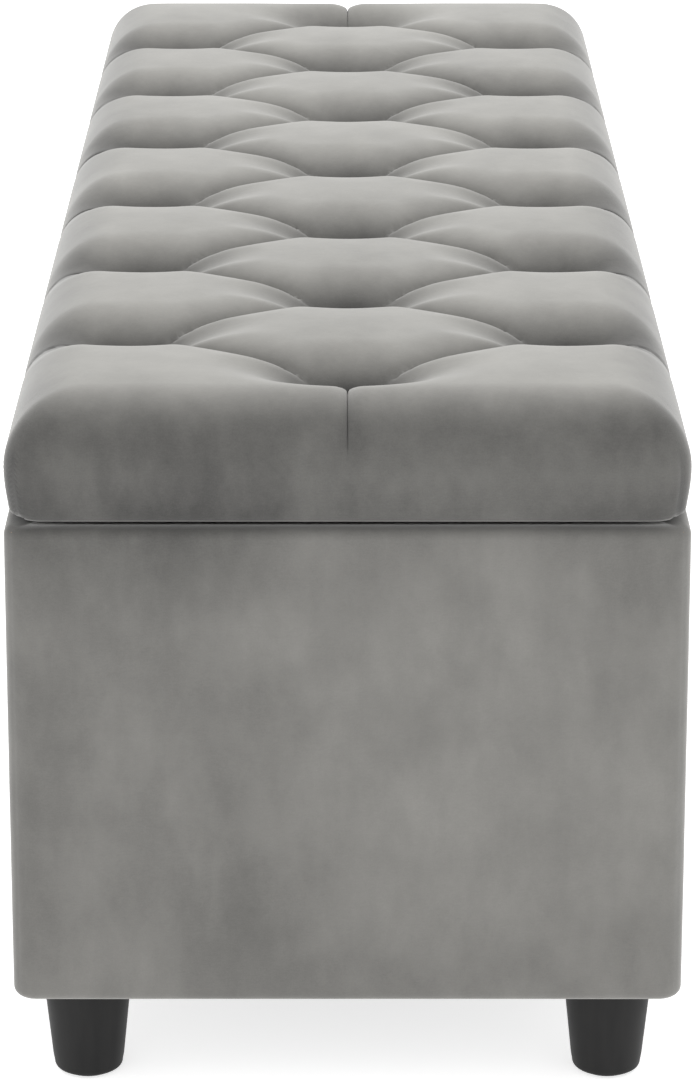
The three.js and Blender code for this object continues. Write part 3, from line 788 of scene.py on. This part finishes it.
def add_lid_cushion():
    surface = LidSurface()
    x, y = lid_sheet(surface, LID_SPACING, True)
    points, normals, field_x, field_y, past, position = surface.wrap(x, y)
    drop = pillow_drop(surface, field_x, field_y)
    pleats = edge_pleats(surface, field_x, field_y, past)
    sewn = np.maximum(corner_seam(surface, position, past), pleats)
    points = points + relaxed(surface, x, y)
    points = points - normals * (drop + SEAM_DEPTH * sewn)[..., None]
    rows, columns = x.shape
    rim = rim_indices(rows, columns)
    rings = list(cushion_underside(position.ravel()[rim]))
    vertices = np.concatenate([points.reshape(-1, 3), *rings])
    faces = list(grid_faces(rows, columns))
    before = rim
    for level in range(len(rings)):
        after = rows * columns + level * len(rim) + np.arange(len(rim))
        faces += ring_faces(after, before)
        before = after
    faces.append(tuple(before[::-1]))
    vertices = clear_of_hinges(vertices)
    piece = add_piece("lid_cushion", vertices, faces, "lid", velvet_material("velvet_lid"))
    # Painted light and shade over the skin; the hem under the board gets an even tone.
    tone_and_painted_light = lid_painted_light(surface, past, drop, sewn).ravel()
    hem = np.full(len(vertices) - len(tone_and_painted_light), HEM_TONE)
    add_attribute(piece, "tone_and_painted_light", np.concatenate([tone_and_painted_light, hem]))
    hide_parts("lid_cover", "lid_foam")


# The body

def body_positions():
    """Positions round the body: even steps along the sides, finer ones at the corners."""
    positions = []
    for side in range(4):
        straight = (HALF_LENGTH if side % 2 == 0 else HALF_WIDTH) - BODY_CORNER_RADIUS
        share = straight / (straight + BODY_CORNER_RADIUS * math.pi / 4)
        count = round(2 * straight / BODY_SPACING)
        along = np.linspace(-share, share, count + 1)
        turn = np.linspace(share, 1, CORNER_STEPS + 1)[1:]
        lead = -turn[::-1][1:]
        positions.append(2 * side + np.concatenate([lead, along, turn]))
    return np.concatenate(positions) % 8


def sleeve(profile, positions):
    """A closed ring of wall round the bench; profile is a closed loop of (inset, height)."""
    rings = []
    for inset, height in profile:
        radius = max(BODY_CORNER_RADIUS - inset, 1 * MM)
        x, y = rounded_ring(positions, HALF_LENGTH - inset, HALF_WIDTH - inset, radius)
        rings.append(np.stack([x, y, np.full(len(positions), height)], -1))
    index = np.arange(len(profile) * len(positions)).reshape(len(profile), -1)
    faces = []
    for a, b in zip(index, np.roll(index, -1, axis=0)):
        faces += ring_faces(a, b)
    return np.stack(rings), faces


def rounded_edge(centre_height, start, end):
    """Insets and heights round an edge of the body, from one angle in degrees to another."""
    angles = np.linspace(math.radians(start), math.radians(end), EDGE_STEPS)
    return zip(EDGE_RADIUS * (1 - np.cos(angles)), centre_height + EDGE_RADIUS * np.sin(angles))


def body_profile():
    """(closed loop of inset and height, how many of its points are on the outside)."""
    wall = HALF_LENGTH - panel_high.x - SKIN_GAP
    rim = HALF_LENGTH - end_low.x
    lower, upper = BODY_BOTTOM + EDGE_RADIUS, BODY_TOP - EDGE_RADIUS
    outside = [
        *rounded_edge(lower, -90, 0),
        *[(0.0, z) for z in np.linspace(lower, upper, BODY_ROWS)[1:-1]],
        *rounded_edge(upper, 0, 90),
    ]
    inside = [
        (rim, BODY_TOP),
        (rim, panel_high.z + SKIN_GAP),
        (wall, panel_high.z + SKIN_GAP),
        (wall, panel_low.z - SKIN_GAP),
        (rim, panel_low.z - SKIN_GAP),
        (rim, BODY_BOTTOM),
    ]
    return outside + inside, len(outside)


def waver(x, y, z):
    """A gentle unevenness of stretched velvet, about -1 to 1, the same each run."""
    waves = [
        (5.1, 0.3, 7.9, 0.4),
        (11.7, 2.1, 4.3, 1.9),
        (3.3, 9.7, 13.1, 4.2),
        (17.3, 6.1, 9.1, 0.9),
        (7.7, 14.9, 21.7, 2.7),
    ]
    total = sum(np.sin(a * x + b * y + c * z + phase) for a, b, c, phase in waves)
    return total / len(waves)


def add_body_cover():
    profile, outside_count = body_profile()
    positions = body_positions()
    points, faces = sleeve(profile, positions)
    outside = points[:outside_count]
    height_share = share_of(outside[..., 2], BODY_BOTTOM, BODY_TOP)
    along = np.abs((positions + 1) % 2 - 1)
    fullness = np.sqrt(np.clip(np.sin(math.pi * height_share), 0, 1)) * (1 - along ** 6)
    swell = fullness * (BODY_SWELL + BODY_WAVER * waver(*np.moveaxis(outside * BODY_WAVES, -1, 0)))
    from_corner = (1 - along) * HALF_WIDTH
    seam = SEAM_DEPTH * BODY_SEAM * (1 - share_of(from_corner, 0, SEAM_REACH)) ** SEAM_POWER
    side = np.floor((positions + 1) / 2).astype(int) % 4
    out_x = np.choose(side, [0, 1, 0, -1])
    out_y = np.choose(side, [1, 0, -1, 0])
    push = swell - np.where(height_share > 0.01, seam, 0)  # the seams stop short of the lower edge
    outside[..., 0] += push * out_x
    outside[..., 1] += push * out_y
    vertices = clear_of_hinges(points.reshape(-1, 3))
    piece = add_piece("body_cover", vertices, faces, "carcass", velvet_material("velvet_body"))
    # Painted light and shade on the body's velvet: lighter towards the back edge, darker towards the front
    # and upper edges.
    across = vertices[:, 1] / HALF_WIDTH
    band = BODY_TOP_SHADE_BAND * (BODY_TOP - BODY_BOTTOM)
    near_top = share_of(vertices[:, 2], BODY_TOP - band, BODY_TOP)
    add_attribute(piece, "tone_and_painted_light", BODY_TONE + BODY_PAINTED_LIGHT_ACROSS * across - BODY_PAINTED_SHADE_TOP * near_top)
    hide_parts("body_cover_front", "body_cover_back", "body_cover_left", "body_cover_right")


# Legs

def turned_faces(ring_count, sides):
    """Faces of a turned shape made of rings, closed by a flat cap at each end."""
    index = np.arange(ring_count * sides).reshape(ring_count, sides)
    faces = []
    for a, b in zip(index[:-1], index[1:]):
        faces += ring_faces(a, b)
    return faces + [tuple(index[0][::-1]), tuple(index[-1])]


def turned(profile, sides):
    """Points of a shape turned about Z, from a profile of (radius, height or a height for each side)."""
    angles = np.arange(sides) * 2 * math.pi / sides
    x, y = np.cos(angles), np.sin(angles)
    rings = [np.stack([r * x, r * y, np.broadcast_to(z, sides)], -1) for r, z in profile]
    return np.concatenate(rings)


def leg_profile(top_radius, foot_radius, bottom, top):
    """A straight taper with a rounded foot and a softened upper edge."""
    angles = np.linspace(0, math.pi / 2, 8)
    falling, rising = 1 - np.sin(angles), 1 - np.cos(angles)
    foot = zip(foot_radius - LEG_FOOT_ROUND * falling, bottom + LEG_FOOT_ROUND * rising)
    edge = zip(top_radius - LEG_TOP_ROUND * rising, top - LEG_TOP_ROUND * falling)
    heights = np.linspace(bottom + LEG_FOOT_ROUND, top - LEG_TOP_ROUND, 12)[1:-1]
    share = (heights - bottom) / (top - bottom)
    taper = zip(foot_radius + (top_radius - foot_radius) * share, heights)
    return [*foot, *taper, *edge]


def add_legs():
    lacquer = lacquer_material()
    for corner in CORNERS:
        low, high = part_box("leg_" + corner)
        glide_low, glide_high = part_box("foot_glide_" + corner)
        top_radius = (high.x - low.x) / 2
        foot_radius = (glide_high.x - glide_low.x) / 2 + LEG_PAST_GLIDE
        profile = leg_profile(top_radius, foot_radius, low.z, high.z)
        points = turned(profile, LEG_SIDES) + ((low.x + high.x) / 2, (low.y + high.y) / 2, 0)
        faces = turned_faces(len(profile), LEG_SIDES)
        leg = add_piece("turned_leg_" + corner, points, faces, "carcass", lacquer)
        leg.data.set_sharp_from_angle(angle=LEG_CREASE)
        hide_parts("leg_" + corner)


# Tuft buttons, screws and staples

def merged(parts):
    """One list of points and one of faces from several (points, faces)."""
    points, faces, start = [], [], 0
    for part_points, part_faces in parts:
        points.append(part_points)
        faces += [tuple(int(i) + start for i in face) for face in part_faces]
        start += len(part_points)
    return np.concatenate(points), faces


def add_tuft_buttons():
    """Velvet-covered buttons, pulled down to the bottom of the tufts."""
    angles = np.linspace(0, math.pi / 2, 7)[:-1]
    dome = zip(BUTTON_RADIUS * np.cos(angles) ** 0.8, BUTTON_DOME * np.sin(angles))
    profile = [(0.75 * BUTTON_RADIUS, -BUTTON_SUNK), *dome, (0.06 * BUTTON_RADIUS, BUTTON_DOME)]
    button = turned(profile, SMALL_SIDES)
    faces = turned_faces(len(profile), SMALL_SIDES)
    middle, outer = tuft_places()
    seat = LID_TOP - TUFT_DEPTH + BUTTON_LIFT
    points, faces = merged([(button + (x, y, seat), faces) for x, y in middle + outer])
    piece = add_piece("tuft_buttons", points, faces, "lid", velvet_material("velvet_buttons"))
    add_attribute(piece, "tone_and_painted_light", np.full(len(points), BUTTON_TONE))


def screw_head(radius, height, recess):
    """A low pan head, facing +Z, with a cross recess cut into it."""
    angles = np.arange(SMALL_SIDES) * 2 * math.pi / SMALL_SIDES
    in_cross = np.abs(np.sin(2 * angles)) < CROSS_WIDTH
    cut = height - np.where(in_cross, recess, 0)
    profile = [
        (radius, 0.0),
        (radius, height * 0.35),
        (radius * 0.86, height * 0.85),
        (radius * 0.55, height),
        (radius * 0.50, cut),
        (radius * 0.2, cut),
    ]
    return turned(profile, SMALL_SIDES), turned_faces(len(profile), SMALL_SIDES)


def placed(shape, origin, facing):
    """A shape drawn round +Z, turned to face a direction and moved to a place."""
    points, faces = shape
    turn = np.array(Vector(facing).to_track_quat("Z", "Y").to_matrix())
    return points @ turn.T + np.array(origin), faces


def add_hinge_screws(steel):
    flat_head = screw_head(radius=2.9 * MM, height=0.2 * MM, recess=0.12 * MM)
    off_edge = LEAF_REST + LEAF_METAL + PROUD
    for body, leaf, up in (("carcass", "hinge_body_leaf_", 1), ("lid", "hinge_lid_leaf_", -1)):
        heads = []
        for name in HINGES:
            low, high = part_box(leaf + name)
            y = low.y + HINGE_SCREW_INSET
            z = BODY_TOP + off_edge if up > 0 else LID_BOTTOM - off_edge
            for share in (-SCREW_SPREAD, 0, SCREW_SPREAD):
                x = (low.x + high.x) / 2 + share * (high.x - low.x) / 2
                heads.append(placed(flat_head, (x, y, z), (0, 0, up)))
        points, faces = merged(heads)
        piece = add_piece(leaf + "screws", points, faces, body, steel)
        piece.data.set_sharp_from_angle(angle=METAL_CREASE)


def add_stay_screws(steel):
    pan_head = screw_head(radius=3.3 * MM, height=1.5 * MM, recess=0.7 * MM)
    off_plate = STAY_METAL + PROUD
    for side, inward in zip(SIDES, (1, -1)):
        low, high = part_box("stay_body_plate_" + side)
        face = (low.x if inward > 0 else high.x) + inward * off_plate
        middle_y, middle_z = (low.y + high.y) / 2, (low.z + high.z) / 2
        reach = SCREW_SPREAD * (high.z - low.z) / 2
        heads = [placed(pan_head, (face, middle_y, middle_z + end * reach), (inward, 0, 0))
                 for end in (-1, 1)]
        points, faces = merged(heads)
        add_piece("stay_plate_screws_" + side, points, faces, "carcass", steel)
        low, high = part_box("stay_lid_bracket_" + side)
        foot_x = (low.x + high.x + inward * STAY_METAL) / 2
        reach = SCREW_SPREAD * (high.y - low.y) / 2
        under = high.z - off_plate
        heads = [placed(pan_head, (foot_x, (low.y + high.y) / 2 + end * reach, under), (0, 0, -1))
                 for end in (-1, 1)]
        points, faces = merged(heads)
        add_piece("stay_bracket_screws_" + side, points, faces, "lid", steel)


def staple():
    """The crown of a staple, along X, lying against a surface that faces +Z."""
    length, width, height, sunk = 10 * MM, 1.2 * MM, 0.45 * MM, 0.05 * MM
    profile = [(-1, 0), (-1, 0.6), (-0.6, 1), (0.6, 1), (1, 0.6), (1, 0)]
    count = len(profile)
    points = []
    for share, lift in ((-1, 0.0), (-0.9, 1.0), (0.9, 1.0), (1, 0.0)):
        for y, z in profile:
            points.append((share * length / 2, y * width / 2, z * height * lift - sunk))
    faces = [tuple(range(count)), tuple(range(3 * count, 4 * count))[::-1]]
    for row in range(3):
        for i in range(count):
            j = (i + 1) % count
            faces.append((row * count + j, row * count + i, (row + 1) * count + i, (row + 1) * count + j))
    return np.array(points), faces


def staples_round(half_x, half_y, z):
    """Staples under a sheet along a rectangle, each lying along the edge that it holds."""
    lengthwise, faces = placed(staple(), (0, 0, 0), (0, 0, -1))
    crosswise = lengthwise @ np.array([[0, 1, 0], [-1, 0, 0], [0, 0, 1]])
    parts = []
    for side in (-1, 1):
        for x in np.linspace(-half_x, half_x, round(2 * half_x / STAPLE_SPACING) + 1):
            parts.append((lengthwise + (x, side * half_y, z), faces))
        for y in np.linspace(-half_y, half_y, round(2 * half_y / STAPLE_SPACING) + 1)[1:-1]:
            parts.append((crosswise + (side * half_x, y, z), faces))
    return merged(parts)


# Linings

def flat_sheet(half_x, half_y, z, sag):
    """A closed thin sheet, level, that wanders up and down by sag between its edges."""
    xs = np.linspace(-half_x, half_x, round(2 * half_x / SHEET_SPACING) + 1)
    ys = np.linspace(-half_y, half_y, round(2 * half_y / SHEET_SPACING) + 1)
    x, y = np.meshgrid(xs, ys, indexing="ij")
    free = share_of(half_x - np.abs(x), 0, SHEET_FIXED) * share_of(half_y - np.abs(y), 0, SHEET_FIXED)
    height = z + sag * free * waver(x * SHEET_WAVES, y * SHEET_WAVES, 0)
    rows, columns = x.shape
    upper = np.stack([x, y, height + SHEET_THICKNESS / 2], -1).reshape(-1, 3)
    lower = np.stack([x, y, height - SHEET_THICKNESS / 2], -1).reshape(-1, 3)
    faces = list(grid_faces(rows, columns))
    faces += list(grid_faces(rows, columns, rows * columns)[:, ::-1])
    rim = rim_indices(rows, columns)
    under = rim + rows * columns
    faces += ring_faces(under, rim)
    return np.concatenate([upper, lower]), faces


def add_stapled_sheet(node, body, sag, cloth, steel):
    """A level lining that hides the underside of a board, with the staples round its edge."""
    low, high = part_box(node)
    z = (low.z + high.z) / 2
    points, faces = flat_sheet(high.x, high.y, z, sag)
    piece = add_piece(node + "_cloth", points, faces, body, cloth)
    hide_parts(node)
    points, faces = staples_round(high.x - STAPLE_INSET, high.y - STAPLE_INSET, z - STAPLE_PROUD)
    staples = add_piece(node + "_staples", points, faces, body, steel, smooth=False)


def stepped_outline(half_x, half_y, step_x, step_y, spacing):
    """Points round a rectangle whose corners step in round the corner blocks."""
    near_x, near_y = half_x - step_x, half_y - step_y
    corner = [(half_x, near_y), (near_x, near_y), (near_x, half_y)]
    upper = corner + [(-x, y) for x, y in corner[::-1]]
    outline = upper + [(-x, -y) for x, y in upper]
    points = []
    for (x0, y0), (x1, y1) in zip(outline, outline[1:] + outline[:1]):
        count = max(round(math.hypot(x1 - x0, y1 - y0) / spacing), 2)
        share = np.arange(count) / count
        points += list(zip(x0 + (x1 - x0) * share, y0 + (y1 - y0) * share))
    return np.array(points)


def add_storage_lining(non_woven):
    """An open box of sheet on the floor and walls of the storage space."""
    low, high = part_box("interior_lining")
    block_low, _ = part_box("corner_block_back_right")
    step_x, step_y = high.x - block_low.x + SKIN_GAP, high.y - block_low.y + SKIN_GAP
    outline = stepped_outline(high.x, high.y, step_x, step_y, LINING_SPACING)
    count = len(outline)
    wave_x, wave_y, wave_z = LINING_WAVES
    rings = []
    for z in np.linspace(high.z, low.z, LINING_ROWS):
        free = math.sin(math.pi * (z - low.z) / (high.z - low.z))
        pull = LINING_PULL * free * (1 + waver(outline[:, 0] * wave_x, outline[:, 1] * wave_y, z * wave_z))
        inward = 1 - pull / HALF_WIDTH
        rings.append(np.stack([outline[:, 0] * inward, outline[:, 1] * inward, np.full(count, z)], -1))
    index = np.arange(len(rings) * count).reshape(len(rings), count)
    faces = []
    for a, b in zip(index[:-1], index[1:]):
        faces += ring_faces(b, a)
    faces.append(tuple(index[-1][::-1]))
    piece = add_piece("storage_lining", np.concatenate(rings), faces, "carcass", non_woven,
                      smooth=False)
    solid = piece.modifiers.new("thickness", "SOLIDIFY")
    solid.thickness = LINING_THICKNESS
    solid.offset = -1
    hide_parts("interior_lining")


# The nodes that show as they are

def finish_nodes(steel):
    """Materials and smooth shading of the frame's own nodes, by the record's slots."""
    finishes = {
        "board": board_material(),
        "pine": pine_material(),
        "steel": steel,
        "glide": moulded_material("glide", (0.012, 0.012, 0.012), (0.03, 0.03, 0.03), 0.4, 0.6, 700.0),
        "rubber": moulded_material("rubber", (0.008, 0.008, 0.008), (0.02, 0.02, 0.02), 0.6, 0.85, 500.0),
    }
    for row in frame["record"]["subparts"]:
        node = frame["nodes"][row["node"]]
        if row["material_slot"] in finishes:
            node.data.materials.clear()
            node.data.materials.append(finishes[row["material_slot"]])
            node.data.polygons.foreach_set("use_smooth", [True] * len(node.data.polygons))
            node.data.set_sharp_from_angle(angle=NODE_CREASE)


add_camera()
add_studio()
add_lid_cushion()
add_tuft_buttons()
add_body_cover()
add_legs()
zinc = zinc_material()
finish_nodes(zinc)
add_hinge_screws(zinc)
add_stay_screws(zinc)
lining_cloth = non_woven_material("lining", (0.012, 0.012, 0.013), (0.032, 0.032, 0.034))
add_storage_lining(lining_cloth)
add_stapled_sheet("lid_lining", "lid", LID_SHEET_SAG, lining_cloth, zinc)
dust_cloth = non_woven_material("dust_cover", (0.006, 0.006, 0.0065), (0.02, 0.02, 0.021))
add_stapled_sheet("dust_cover", "carcass", DUST_SHEET_SAG, dust_cloth, zinc)
